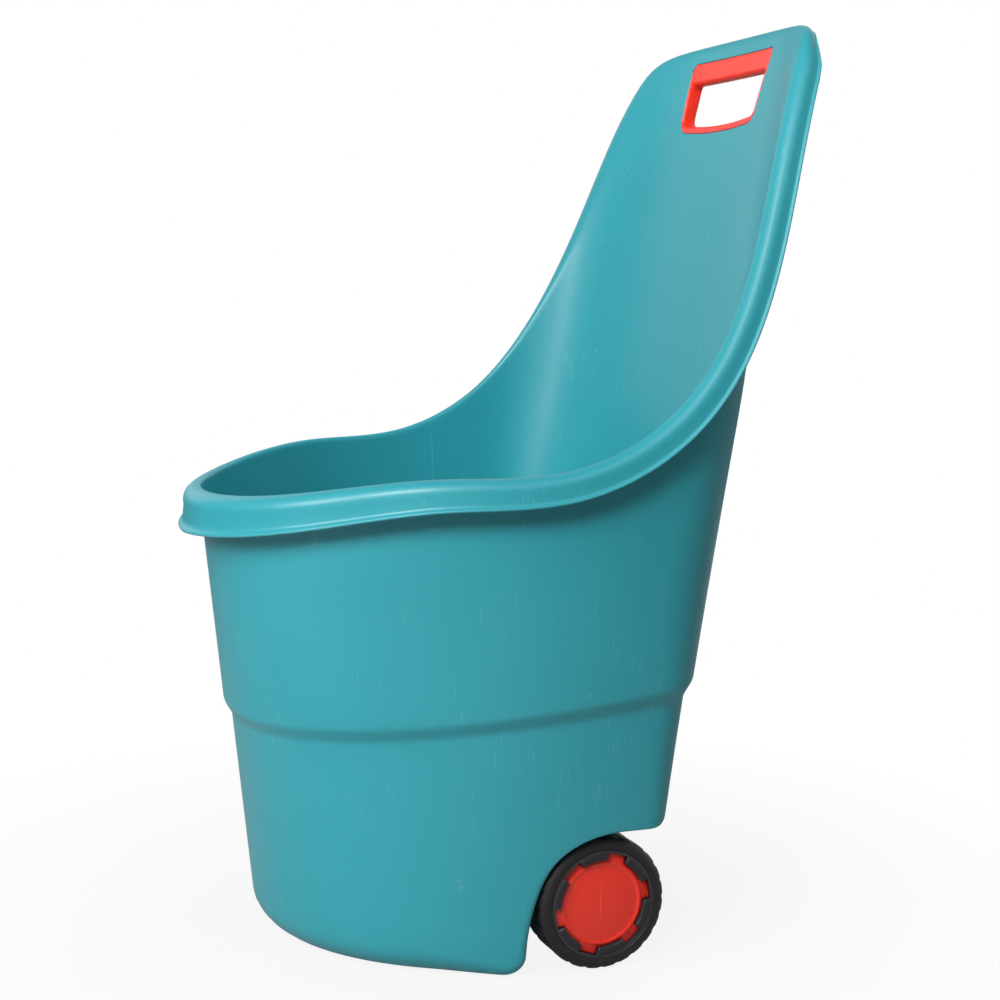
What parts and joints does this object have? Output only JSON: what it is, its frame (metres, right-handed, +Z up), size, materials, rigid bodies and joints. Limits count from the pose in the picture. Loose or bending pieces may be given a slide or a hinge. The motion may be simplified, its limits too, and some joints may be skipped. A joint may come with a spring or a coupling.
{
  "type": "muck cart",
  "caption": "Wheeled garden tub with a low front lip, a tall curved back panel with a grip opening, a rolled rim and small wheels under a raised rear floor.",
  "frame": {"origin": "on the floor, in the middle of the bounding box's base", "axes": "+X to the right wheel, -Y to the low front lip, +Y to the back panel, +Z up"},
  "size_m": [0.5036, 0.5677, 0.8366],
  "materials": {
    "tub": "satin moulded polypropylene, teal",
    "grip": "satin moulded plastic, red",
    "axle": "drawn, zinc plated",
    "tread": "matte moulded, black",
    "wheel_core": "satin moulded, black",
    "cap": "satin moulded plastic, red",
    "fastener": "pressed, zinc plated"
  },
  "bodies": {
    "cart": {"tub_shell": "tub", "handle_grip": "grip", "axle": "axle", "left_push_nut": "fastener", "right_push_nut": "fastener", "left_washer": "fastener", "right_washer": "fastener"},
    "left_wheel": {"left_tyre": "tread", "left_wheel_rim": "wheel_core", "left_hub_cap": "cap"},
    "right_wheel": {"right_tyre": "tread", "right_wheel_rim": "wheel_core", "right_hub_cap": "cap"}
  },
  "joints": [
    {"name": "left_wheel_spin", "type": "hinge", "parent": "cart", "child": "left_wheel", "pos_m": [-0.1893, 0.042, 0.06], "axis": [1, 0, 0], "continuous": true},
    {"name": "right_wheel_spin", "type": "hinge", "parent": "cart", "child": "right_wheel", "pos_m": [0.1893, 0.042, 0.06], "axis": [1, 0, 0], "continuous": true}
  ]
}
